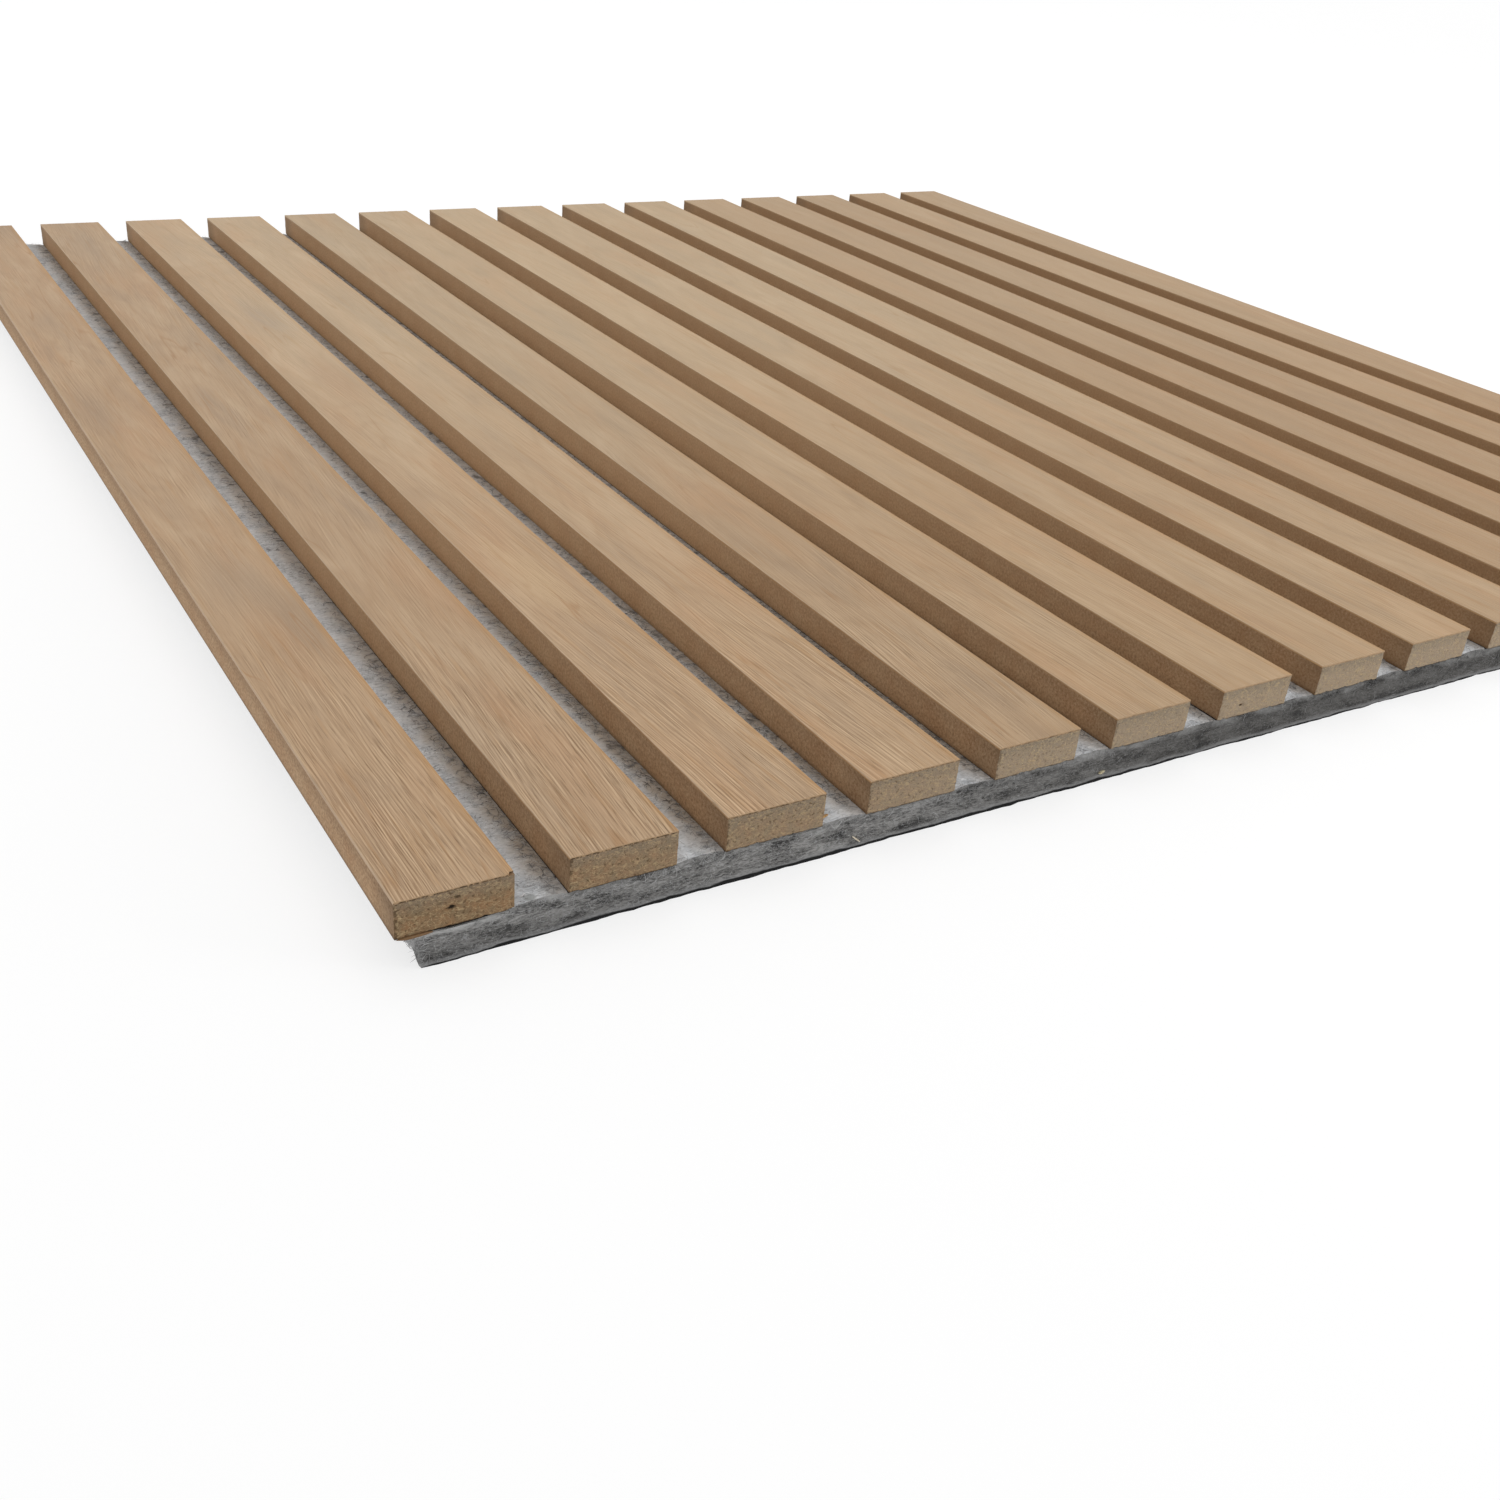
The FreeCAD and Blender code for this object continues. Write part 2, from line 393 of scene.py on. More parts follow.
# The crushed rim, painted light on the near left corner, and the thin black line of painted shade under
# the burr, whose thickness wavers.
thickness = add_node(tree, "MapRange", {"Value": x, **share_of(-290, -220, 0.7, 0.3)})
wobble = add_node(tree, "Math", {0: blotch, 1: 1.6, 2: -0.8}, operation="MULTIPLY_ADD")
thinner = add_node(tree, "MapRange", {"Value": x, **share_of(-180, -60, 0.35)})
wavering = add_node(tree, "Math", {0: thickness, 1: wobble}, operation="ADD")
depth = add_node(tree, "Math", {0: wavering, 1: thinner}, operation="SUBTRACT")
above = add_node(tree, "Math", {0: z, 1: depth}, operation="SUBTRACT")
rimmed = tinted(tree, hairy, above, (1.4, 0.5, 0.5), "#9a9a9b")
# Painted light on the near left corner.
lit_corner = tinted(tree, rimmed, x, (-293.5, -297.5, 0.85), "#c2c2c2")
# Painted shade: a thin black line under the burr.
edged = tinted(tree, lit_corner, above, (0.25, 0.0), "#1f1f20")
bump = add_node(tree, "Bump", {"Strength": 0.8, "Distance": 0.6 * MM, "Height": streak})
shader = add_node(tree, "BsdfPrincipled", {
    "Base Color": edged, "Roughness": 0.95, "Specular IOR Level": 0.2, "Normal": bump,
})
add_node(tree, "OutputMaterial", {"Surface": shader})

felt_board.data.materials.append(felt_face)
felt_board.data.materials.append(felt_edge)
for polygon in felt_board.data.polygons:
    polygon.material_index = 1 if polygon.index in cut_faces else 0
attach(felt_board, "root")
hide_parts("felt_backing")

# Fuzz: loose ends of the felt's fibres that stand out of its face, of its cut edges and of the foot of
# each slat. Three shapes of fibre are strewn over the felt. They are drawn about three times too thick.
fibre_sides = 3
fibre_length = 3.0 * MM
fibre_radius = 0.06 * MM
fibre_bends = {
    "hooked": (0, 0.5 * MM, 0.2 * MM, -0.6 * MM),
    "waved": (0, 0.45 * MM, -0.35 * MM, 0.1 * MM),
    "slack": (0, 0.15 * MM, 0.2 * MM, 0),
}
fibre_lift = (-0.1 * MM, 0.25 * MM, 0.3 * MM, 0.1 * MM)
fibre_cuts = 2
last_ring = fibre_cuts + 1
fibre_point = 0.3
fibre_lean = 0.35
fibre_sizes = (0.35, 1.2)
fibre_shapes = bpy.data.collections.new("fibre_shapes")
bpy.context.scene.collection.children.link(fibre_shapes)
for name, bends in fibre_bends.items():
    bpy.ops.object.select_all(action="DESELECT")
    bpy.ops.mesh.primitive_cylinder_add(
        vertices=fibre_sides, radius=fibre_radius, depth=fibre_length, rotation=(0, math.pi / 2, 0)
    )
    fibre = bpy.context.object
    fibre.name = f"fibre_{name}"
    bpy.ops.object.transform_apply(location=True, rotation=True, scale=True)
    bpy.ops.object.mode_set(mode="EDIT")
    bpy.ops.mesh.select_mode(type="EDGE")
    divide_edges(fibre, fibre_cuts, lambda a, b: abs(a.x - b.x) > fibre_length / 2)
    for ring, (bend, lift) in enumerate(zip(bends, fibre_lift)):
        ring_x = (ring / last_ring - 0.5) * fibre_length
        select_edges(fibre, lambda a, b: near(a.x, ring_x) and near(b.x, ring_x))
        if ring in (0, last_ring):
            bpy.ops.transform.resize(value=(1, fibre_point, fibre_point))
        bpy.ops.transform.translate(value=(0, bend, lift))
    bpy.ops.object.mode_set(mode="OBJECT")
    for collection in fibre.users_collection:
        collection.objects.unlink(fibre)
    fibre_shapes.objects.link(fibre)

# Polyester fibre: each loose end has its own grey, from the black of recycled yarn to white.
fibre_material, tree, _ = begin_material("loose_polyester_fibre")
shade = add_node(tree, "Attribute", {}, attribute_name="shade")
grey = add_node(tree, "Mix", {"Factor": shade.outputs["Fac"], "A": "#2e2c2b", "B": "#d8d8d8"})
shader = add_node(tree, "BsdfPrincipled", {"Base Color": grey, "Roughness": 0.7, "Specular IOR Level": 0.3})
add_node(tree, "OutputMaterial", {"Surface": shader})


def copy_of(piece, name):
    """A copy of a piece with a mesh of its own. It is left selected and active."""
    bpy.ops.object.select_all(action="DESELECT")
    piece.select_set(True)
    bpy.context.view_layer.objects.active = piece
    bpy.ops.object.duplicate(linked=False)
    copied = bpy.context.object
    copied.name = name
    copied.data.name = name
    return copied


def strew_fibres(name, wanted, span, per_square_mm, shades, seed):
    """Fibres strewn as one piece over the felt's faces, in a span from left to right, that pass a test."""
    fuzz = copy_of(felt_board, name)
    bpy.ops.object.mode_set(mode="EDIT")
    bpy.ops.mesh.select_mode(type="FACE")
    bpy.ops.mesh.select_all(action="DESELECT")
    shape = bmesh.from_edit_mesh(fuzz.data)
    for face in shape.faces:
        middle = face.calc_center_median()
        face.select_set(not (wanted(middle, face.normal) and span[0] < middle.x < span[1]))
    bmesh.update_edit_mesh(fuzz.data)
    bpy.ops.mesh.delete(type="FACE")
    bpy.ops.object.mode_set(mode="OBJECT")

    strewing = bpy.data.node_groups.new(name, "GeometryNodeTree")
    strewing.interface.new_socket("Geometry", in_out="INPUT", socket_type="NodeSocketGeometry")
    strewing.interface.new_socket("Geometry", in_out="OUTPUT", socket_type="NodeSocketGeometry")
    felt = add_node(strewing, "NodeGroupInput", {})
    roots = add_node(strewing, "GeometryNodeDistributePointsOnFaces", {
        "Mesh": felt, "Density": per_square_mm / MM ** 2, "Seed": seed,
    })
    lie = add_node(strewing, "FunctionNodeRandomValue", {
        "Min": (-fibre_lean, -fibre_lean, 0), "Max": (fibre_lean, fibre_lean, 2 * math.pi),
        "Seed": seed + 1,
    }, data_type="FLOAT_VECTOR")
    turn = add_node(strewing, "FunctionNodeEulerToRotation", {"Euler": lie})
    laid = add_node(strewing, "FunctionNodeRotateRotation", {
        "Rotation": roots.outputs["Rotation"], "Rotate By": turn,
    }, rotation_space="LOCAL")
    size = add_node(strewing, "FunctionNodeRandomValue", {
        "Min": fibre_sizes[0], "Max": fibre_sizes[1], "Seed": seed + 2,
    })
    pick = add_node(strewing, "FunctionNodeRandomValue", {
        "Min": 0, "Max": len(fibre_bends) - 1, "Seed": seed + 3,
    }, data_type="INT")
    shapes = add_node(strewing, "GeometryNodeCollectionInfo", {
        "Collection": fibre_shapes, "Separate Children": True, "Reset Children": True,
    })
    fibres = add_node(strewing, "GeometryNodeInstanceOnPoints", {
        "Points": roots, "Instance": shapes, "Pick Instance": True, "Instance Index": pick,
        "Rotation": laid, "Scale": size,
    })
    tint = add_node(strewing, "FunctionNodeRandomValue", {
        "Min": shades[0], "Max": shades[1], "Seed": seed + 4,
    })
    shaded = add_node(strewing, "GeometryNodeStoreNamedAttribute", {
        "Geometry": fibres, "Name": "shade", "Value": tint,
    }, domain="INSTANCE")
    whole = add_node(strewing, "GeometryNodeRealizeInstances", {"Geometry": shaded})
    add_node(strewing, "NodeGroupOutput", {"Geometry": whole})

    modifier = fuzz.modifiers.new("strewing", "NODES")
    modifier.node_group = strewing
    bpy.ops.object.modifier_apply(modifier="strewing")
    fuzz.data.materials.clear()
    fuzz.data.materials.append(fibre_material)
    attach(fuzz, "root")


near_corner = Vector((-293, -294, 2)) * MM
arris_from = 7.5 * MM
foot_from = 0.7
front_foot = (-294 * MM, -180 * MM)


def is_groove(middle, normal):
    """True for a face of the felt at the bottom of a groove or on the joining lip."""
    return normal.z > looks_along and groove_share(middle.x) > 0


def is_cut_edge(middle, normal):
    """True for a face of one of the felt's four cut edges, clear of the burr."""
    return abs(normal.z) < looks_along and middle.z > burr_height


def is_near_corner(middle, normal):
    """True for a face of the cut edges at the felt's near left corner, clear of the floor."""
    at_corner = middle.x < near_corner.x and middle.y < near_corner.y
    return is_cut_edge(middle, normal) and at_corner and middle.z > near_corner.z


def is_arris(middle, normal):
    """True for a face of the cut edges just under the felt's upper arris."""
    return is_cut_edge(middle, normal) and middle.z > arris_from


def is_foot(middle, normal):
    """True for a face of a groove's bottom beside the slat on its right."""
    return is_groove(middle, normal) and groove_share(middle.x) > foot_from


def is_front_foot(middle, normal):
    """True for a face at a slat's foot on the front fifth of the panel, short of the cut edge."""
    return is_foot(middle, normal) and front_foot[0] < middle.y < front_foot[1]


# Each group of fuzz: where it grows, from where to where, its fibres to the square millimetre, the range of
# their shades and its seed. It is denser on the left, and on the cut edges also paler there.
felt_reach = 310 * MM
quarter_line = -150 * MM
everywhere = (-felt_reach, felt_reach)
left_half = (-felt_reach, 0)
right_half = (0, felt_reach)
left_quarter = (-felt_reach, quarter_line)
other_quarters = (quarter_line, felt_reach)
fuzz_groups = [
    ("groove_fuzz_left", is_groove, left_half, 0.09, (0.35, 1.0), 11),
    ("groove_fuzz_right", is_groove, right_half, 0.07, (0.35, 1.0), 21),
    ("slat_foot_fuzz_left", is_foot, left_half, 0.34, (0.0, 0.45), 31),
    ("slat_foot_fuzz_right", is_foot, right_half, 0.24, (0.0, 0.45), 51),
    ("slat_foot_fuzz_front", is_front_foot, everywhere, 0.5, (0.0, 0.4), 61),
    ("corner_tuft", is_near_corner, everywhere, 1.6, (0.2, 0.8), 91),
    ("felt_arris_fuzz_left", is_arris, left_quarter, 0.5, (0.2, 0.75), 71),
    ("felt_arris_fuzz_right", is_arris, other_quarters, 0.4, (0.1, 0.4), 101),
    ("cut_edge_fuzz_left", is_cut_edge, left_quarter, 0.1, (0.15, 0.65), 41),
    ("cut_edge_fuzz_right", is_cut_edge, other_quarters, 0.08, (0.1, 0.4), 81),
]
for group in fuzz_groups:
    strew_fibres(*group)
for fibre in list(fibre_shapes.objects):
    bpy.data.objects.remove(fibre)
bpy.data.collections.remove(fibre_shapes)

# Slat cores: medium-density fibreboard, milled to width and cut to length with a saw that leaves the
# ends rough and their lower arris a little torn. Each is glued to the felt.
end_width_cuts = 53
end_height_cuts = 17
saw_roughness = 0.14 * MM
saw_mean = 0.5
saw_lumps = ((0.5, 1.1 * MM), (0.5, 2.7 * MM))
torn_arris = 2
arris_tear = 0.8 * MM
arris_lumps = ((1, 3.7 * MM), (0.7, 1.3 * MM))
torn_depth = 0.5 * MM

# Places torn out of the front ends: a middle in millimetres, a size and the darkness of the painted shade
# in it.
torn_places = [
    (Vector((-287.3, -300, 13.6)), 0.7, 1.0),
    (Vector((-286.0, -300, 15.9)), 0.5, 0.6),
    (Vector((-51.7, -300, 12.4)), 0.45, 0.9),
]
torn_stretch = Vector((0.55, 0.02, 1.5))
slat_crease = math.radians(40)


def plain_slat_part(name, low, high):
    """A slat's core or veneer before sawing: a box whose two ends are divided finely enough to be torn."""
    piece = begin_box(name, low, high)
    divide_edges(piece, end_width_cuts, lambda a, b: along(a, b, 0))
    return piece


def copy_to_slat(pattern, name, number):
    """A copy of the first slat's part in another slat's place, with a mesh of its own."""
    piece = copy_of(pattern, f"{name}_{number:02d}")
    bpy.ops.transform.translate(value=((number - 1) * slat_pitch, 0, 0))
    bpy.ops.object.transform_apply(location=True, rotation=True, scale=True)
    return piece


def dress_slat_part(piece, long_side, sawn_end):
    """Gives a slat's part one material along its length and another on its two sawn ends."""
    piece.data.materials.append(long_side)
    piece.data.materials.append(sawn_end)
    for face in piece.data.polygons:
        face.material_index = 1 if abs(face.normal.y) > looks_along else 0
    bpy.ops.object.shade_smooth_by_angle(angle=slat_crease)


core_pattern = plain_slat_part("slat_core_pattern", *core_boxes[0])
divide_edges(core_pattern, end_height_cuts, lambda a, b: along(a, b, 2))
bpy.ops.object.mode_set(mode="OBJECT")

# The milled side of MDF: brown fibre dust pressed hard, specked darker and paler, darker under the veneer,
# at the foot, where glue, dust and painted shade gather, and beside the sawn ends. In the grooves painted
# light makes it paler towards the back, and painted shade makes the slats on the right darker.
mdf_side, tree, place = begin_material("mdf_milled_side")
cloud = add_node(tree, "TexNoise", {"Vector": place, "Scale": 0.12, "Detail": 3.0})
brown = tinted(tree, "#b28d69", cloud, (0.3, 0.7), "#bd9d7a")
x, y, z = add_node(tree, "SeparateXYZ", {"Vector": place}).outputs
layered = tinted(tree, brown, z, (13.5, 16.5, 0.4), "#82684d")
speck = add_node(tree, "TexNoise", {"Vector": place, "Scale": 1.2, "Detail": 4.0, "Roughness": 0.75})
speckled = tinted(tree, layered, speck, (0.48, 0.64, 0.7), "#7c5e42")
flecked = tinted(tree, speckled, speck, (0.46, 0.34, 0.6), "#cdb191")
# Glue, dust and painted shade at the foot.
foot_dust_and_shade = tinted(tree, flecked, z, (10.2, 9, 0.75), "#6e563f")
# Painted light in the grooves, paler towards the back.
inside = add_node(tree, "MapRange", {"Value": x, **share_of(-299.5, -299)})
backward = add_node(tree, "MapRange", {"Value": y, **share_of(-290, -110, 0.36)})
tapering = add_node(tree, "Math", {0: inside, 1: backward}, operation="MULTIPLY")
lit_towards_back = add_node(tree, "Mix", {"Factor": tapering, "A": foot_dust_and_shade, "B": "#e3bd92"})
# Painted shade on the slats to the right.
sided = tinted(tree, lit_towards_back, x, (-190, 180, 0.55), "#8f6a45")
lengthwise = add_node(tree, "Math", {0: y}, operation="ABSOLUTE")
sided = tinted(tree, sided, lengthwise, (286, 300, 0.45), "#3a2a1a")
bump = add_node(tree, "Bump", {"Strength": 0.25, "Distance": 0.2 * MM, "Height": speck})
shader = add_node(tree, "BsdfPrincipled", {
    "Base Color": sided, "Roughness": 0.8, "Specular IOR Level": 0.3, "Normal": bump,
})
add_node(tree, "OutputMaterial", {"Surface": shader})


def oval_distance(tree, place, middle, stretch):
    """How far a place lies from the middle of an oval, with each direction times its stretch."""
    apart = add_node(tree, "VectorMath", {0: place, 1: middle}, operation="SUBTRACT")
    oval = add_node(tree, "VectorMath", {0: apart, 1: stretch}, operation="MULTIPLY")
    return add_node(tree, "VectorMath", {0: oval}, operation="LENGTH").outputs["Value"]


# The sawn end of MDF: torn bundles of fibre, golden in the middle of the board and greyer near its
# faces, with pale curled strands, dark pits and a torn lower arris. Painted shade darkens the torn places
# and the lower arris, and painted light makes the ends paler towards the right.
mdf_end, tree, place = begin_material("mdf_sawn_end")
x, y, z = add_node(tree, "SeparateXYZ", {"Vector": place}).outputs
clump = add_node(tree, "TexNoise", {"Vector": place, "Scale": 0.3, "Detail": 5.0, "Roughness": 0.65})
golden = tinted(tree, "#7f6c52", clump, (0.38, 0.62), "#8d6d4e")
# Painted light: the ends paler towards the right.
board = tinted(tree, golden, x, (-280, -130, 0.75), "#a0917e")
layered = tinted(tree, board, z, (14, 17.5, 0.6), "#807565")
stretched = add_node(tree, "Mapping", {"Vector": place, "Rotation": (0, 0.5, 0), "Scale": (0.7, 1, 2.0)})
strand = add_node(tree, "TexNoise", {"Vector": stretched, "Scale": 1.0, "Detail": 4.0, "Distortion": 1.5})
fibrous = tinted(tree, layered, strand, (0.53, 0.68, 0.75), "#b39a76")
curls = hair_lines(tree, place, 0.45, (3, 0, 11), 0.03)
faint = add_node(tree, "Math", {0: curls, 1: 0.35}, operation="MULTIPLY")
curled = add_node(tree, "Mix", {"Factor": faint, "A": fibrous, "B": "#c0a982"})
pit = add_node(tree, "TexNoise", {"Vector": place, "Scale": 1.0, "Detail": 3.0, "Roughness": 0.6})
tapering = add_node(tree, "MapRange", {"Value": x, **share_of(-190, -90, 0.35, 0.8)})
from_left = add_node(tree, "Math", {0: x, 1: -first_left / MM}, operation="ADD")
across = add_node(tree, "Math", {0: from_left, 1: slat_pitch / MM}, operation="MODULO")
chipped = add_node(tree, "MapRange", {"Value": across, **share_of(1.2, 0.1, 0.14)})
pit_floor = add_node(tree, "Math", {0: pit, 1: chipped}, operation="SUBTRACT")
pitted_and_shaded = tinted(tree, curled, pit_floor, (0.44, 0.31, tapering), "#523f2b")
# Painted shade inside the torn places.
for torn_place, torn_size, darkness in torn_places:
    away = oval_distance(tree, place, torn_place, torn_stretch)
    pitted_and_shaded = tinted(tree, pitted_and_shaded, away, (torn_size, 0.5 * torn_size, darkness), "#2b2016")
# Painted shade along the lower arris, in its torn notches and the gap under the slat.
lower = add_node(tree, "MapRange", {"Value": z, **share_of(10, 9)})
lower_arris_shade = add_node(tree, "Math", {0: clump, 1: 0.8, 2: lower}, operation="MULTIPLY_ADD")
pitted_and_shaded = tinted(tree, pitted_and_shaded, lower_arris_shade, (1.05, 1.3, 0.85), "#382b1d")
height = add_node(tree, "Math", {0: strand, 1: pit}, operation="ADD")
bump = add_node(tree, "Bump", {"Strength": 0.8, "Distance": 0.5 * MM, "Height": height})
shader = add_node(tree, "BsdfPrincipled", {
    "Base Color": pitted_and_shaded, "Roughness": 0.9, "Specular IOR Level": 0.2, "Normal": bump,
})
add_node(tree, "OutputMaterial", {"Surface": shader})

for number, (core_low, core_high) in enumerate(core_boxes, start=1):
    core = copy_to_slat(core_pattern, "sawn_core", number)
    for vertex in core.data.vertices:
        inward = 1 if near(vertex.co.y, core_low.y) else -1 if near(vertex.co.y, core_high.y) else 0
        rough = saw_mean + lumps(vertex.co, *saw_lumps)
        at_side = near(vertex.co.x, core_low.x) or near(vertex.co.x, core_high.x)
        torn = torn_arris if at_side or near(vertex.co.z, core_low.z) else 1
        vertex.co.y += inward * saw_roughness * torn * max(0, rough)
        if inward and near(vertex.co.z, core_low.z):
            vertex.co.z += arris_tear * max(0, lumps(vertex.co, *arris_lumps))
        for torn_place, torn_size, _ in torn_places:
            if ((vertex.co / MM - torn_place) * torn_stretch).length < torn_size:
                vertex.co.y += torn_depth
    dress_slat_part(core, mdf_side, mdf_end)
    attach(core, "root")
    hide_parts(f"slat_core_{number:02d}")
bpy.data.objects.remove(core_pattern)

# Slat faces: oak veneer pressed on the cores, brushed and left matt. Sanding eased its long edges,
# and the saw tore a few fibres out of its ends.
veneer_low, veneer_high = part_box("slat_veneer_01")
veneer_easing = 0.25 * MM
easing_segments = 3
veneer_tear = 0.22 * MM
tear_mean = 0.2
tear_lumps = ((1, 0.9 * MM), (0.6, 3.1 * MM))
chip_width = 1.3 * MM
chip_depth = 0.8 * MM

# Spots of figure in the oak: a middle in millimetres and a colour.
figure_spots = [
    (Vector((-287, -136, 18.6)), "#a38a70"),
    (Vector((-205, 120, 18.6)), "#998470"),
    (Vector((-201, 30, 18.6)), "#a67f5d"),
    (Vector((-206, -166, 18.6)), "#c4a57f"),
    (Vector((-293, 20, 18.6)), "#9d8369"),
    (Vector((-278, -170, 18.6)), "#977d63"),
]
figure_stretch = Vector((0.11, 0.028, 0))


def long_top_arris(a, b):
    """True for one of the two long edges of a slat's face."""
    at_side = near(a.x, veneer_low.x) or near(a.x, veneer_high.x)
    return along(a, b, 1) and near(a.z, veneer_high.z) and at_side


veneer_pattern = plain_slat_part("slat_veneer_pattern", veneer_low, veneer_high)
select_edges(veneer_pattern, long_top_arris)
bpy.ops.mesh.bevel(offset=veneer_easing, segments=easing_segments, affect="EDGES")
bpy.ops.object.mode_set(mode="OBJECT")

# Oak veneer, sliced and brushed: nearly straight grain with ridges and furrows up to a millimetre apart,
# with painted highlights on the ridges and painted shade in the furrows, in a leaf whose tint and figure
# change slowly along it. Every slat is cut from another place in the leaf, and the last five slats from a
# darker leaf.
oak, tree, place = begin_material("brushed_oak_veneer")
x, y, z = add_node(tree, "SeparateXYZ", {"Vector": place}).outputs
from_left = add_node(tree, "Math", {0: x, 1: -first_left / MM}, operation="ADD")
row = add_node(tree, "Math", {0: from_left, 1: slat_pitch / MM}, operation="DIVIDE")
leaf = add_node(tree, "Math", {0: row}, operation="FLOOR")
across = add_node(tree, "Math", {0: from_left, 1: slat_pitch / MM}, operation="MODULO")
chance = add_node(tree, "TexWhiteNoise", {"W": leaf}, noise_dimensions="1D")
leaf_size = (700, 4000, 300)
cut_from = {0: chance.outputs["Color"], 1: leaf_size, 2: place}
moved = add_node(tree, "VectorMath", cut_from, operation="MULTIPLY_ADD")
slow = add_node(tree, "Mapping", {"Vector": moved, "Scale": (0.03, 0.006, 1)})
drift = add_node(tree, "TexNoise", {"Vector": slow, "Scale": 1.0, "Detail": 1.0})
quick = add_node(tree, "Mapping", {"Vector": moved, "Scale": (0.1, 0.04, 1)})
ripple = add_node(tree, "TexNoise", {"Vector": quick, "Scale": 1.0, "Detail": 1.0})
leaning = add_node(tree, "MapRange", {"Value": chance.outputs["Value"], **share_of(0, 1, 0.07, -0.07)})
leant = add_node(tree, "Math", {0: y, 1: leaning}, operation="MULTIPLY")
drifted = add_node(tree, "Math", {0: drift, 1: 7.0, 2: leant}, operation="MULTIPLY_ADD")
sway = add_node(tree, "Math", {0: ripple, 1: 0.6, 2: drifted}, operation="MULTIPLY_ADD")
sideways = add_node(tree, "CombineXYZ", {"X": sway})
grain = add_node(tree, "VectorMath", {0: moved, 1: sideways}, operation="ADD")

# Bands and rings of early and late wood, and warm and dull tints.
coarse = add_node(tree, "Mapping", {"Vector": grain, "Scale": (0.16, 0.004, 1)})
band = add_node(tree, "TexNoise", {"Vector": coarse, "Scale": 1.0, "Detail": 2.0, "Roughness": 0.6})
wood = tinted(tree, "#ba9c7b", band, (0.3, 0.7), "#b09170")
figure = add_node(tree, "Mapping", {"Vector": moved, "Scale": (0.035, 0.005, 1)})
arch = add_node(tree, "TexNoise", {"Vector": figure, "Scale": 1.0, "Detail": 1.0})
rings = add_node(tree, "Math", {0: arch, 1: 12.0}, operation="MULTIPLY")
ring = add_node(tree, "Math", {0: rings, 1: 0.5}, operation="PINGPONG")
wood = tinted(tree, wood, ring, (0.3, 0.5, 0.4), "#a88866")
broad = add_node(tree, "Mapping", {"Vector": moved, "Scale": (0.07, 0.014, 1)})
tint = add_node(tree, "TexNoise", {"Vector": broad, "Scale": 1.0, "Detail": 3.0})
wood = tinted(tree, wood, tint, (0.5, 0.72, 0.6), "#ba9069")
wood = tinted(tree, wood, tint, (0.44, 0.28, 0.5), "#a99177")

# Figure: smoky and pale clouds, and a few spots.
curly = add_node(tree, "Mapping", {"Vector": moved, "Scale": (0.05, 0.011, 1)})
curl = add_node(tree, "TexNoise", {"Vector": curly, "Scale": 1.0, "Detail": 2.5, "Distortion": 1.6})
wood = tinted(tree, wood, curl, (0.53, 0.72, 0.4), "#987f66")
wood = tinted(tree, wood, curl, (0.46, 0.3, 0.4), "#c8ad8d")
for spot, colour in figure_spots:
    away = oval_distance(tree, place, spot, figure_stretch)
    uneven = add_node(tree, "Math", {0: curl, 1: 2.0, 2: away}, operation="MULTIPLY_ADD")
    wood = tinted(tree, wood, uneven, (2.0, 1.1, 0.6), colour)

# Brushing: painted highlights on the ridges and painted shade in the furrows, where the grain rises and
# falls. It is patchy, and fades from the near left corner.
fine = add_node(tree, "Mapping", {"Vector": grain, "Scale": (1.6, 0.04, 1)})
line = add_node(tree, "TexNoise", {"Vector": fine, "Scale": 1.0, "Detail": 3.0, "Roughness": 0.6})
beside = add_node(tree, "VectorMath", {0: fine, 1: (0.45, 0, 0)}, operation="ADD")
next_line = add_node(tree, "TexNoise", {"Vector": beside, "Scale": 1.0, "Detail": 3.0, "Roughness": 0.6})
steep = add_node(tree, "Math", {0: line, 1: next_line}, operation="SUBTRACT")
patch = add_node(tree, "Mapping", {"Vector": moved, "Scale": (0.09, 0.022, 1)})
calm = add_node(tree, "TexNoise", {"Vector": patch, "Scale": 1.0, "Detail": 2.0})
brushed = add_node(tree, "MapRange", {"Value": calm, **share_of(0.38, 0.62, 1.2, 0.5)})
backward = add_node(tree, "MapRange", {"Value": y, **share_of(-300, -160)})
rightward = add_node(tree, "MapRange", {"Value": x, **share_of(-230, -60, 0.85)})
farther = add_node(tree, "Math", {0: backward, 1: rightward}, operation="MAXIMUM")
fading = add_node(tree, "MapRange", {"Value": farther, **share_of(0, 1, 0.32, 1.25)})
raised = add_node(tree, "Math", {0: brushed, 1: fading}, operation="MULTIPLY")
slope = add_node(tree, "Math", {0: steep, 1: raised}, operation="MULTIPLY")
# Painted highlights on the ridges and painted shade in the furrows.
wood = tinted(tree, wood, slope, (0.01, 0.2, 0.8), "#d3b692")
wood = tinted(tree, wood, slope, (-0.01, -0.2, 0.85), "#896a48")

# Rusty flecks and veins, and open pores.
spread = add_node(tree, "Mapping", {"Vector": grain, "Scale": (0.5, 0.03, 1)})
fleck = add_node(tree, "TexNoise", {"Vector": spread, "Scale": 1.0, "Detail": 3.0})
rust = add_node(tree, "Math", {0: fading, 1: 0.2, 2: 0.25}, operation="MULTIPLY_ADD")
wood = tinted(tree, wood, fleck, (0.56, 0.72, rust), "#ab8152")
drawn = add_node(tree, "Mapping", {"Vector": moved, "Scale": (0.09, 0.005, 1)})
veins = hair_lines(tree, drawn, 1.0, (0, 0, 0), 0.012)
scarce = add_node(tree, "MapRange", {"Value": calm, **share_of(0.54, 0.38, 0.5)})
vein = add_node(tree, "Math", {0: veins, 1: scarce}, operation="MULTIPLY")
wood = add_node(tree, "Mix", {"Factor": vein, "A": wood, "B": "#a07446"})
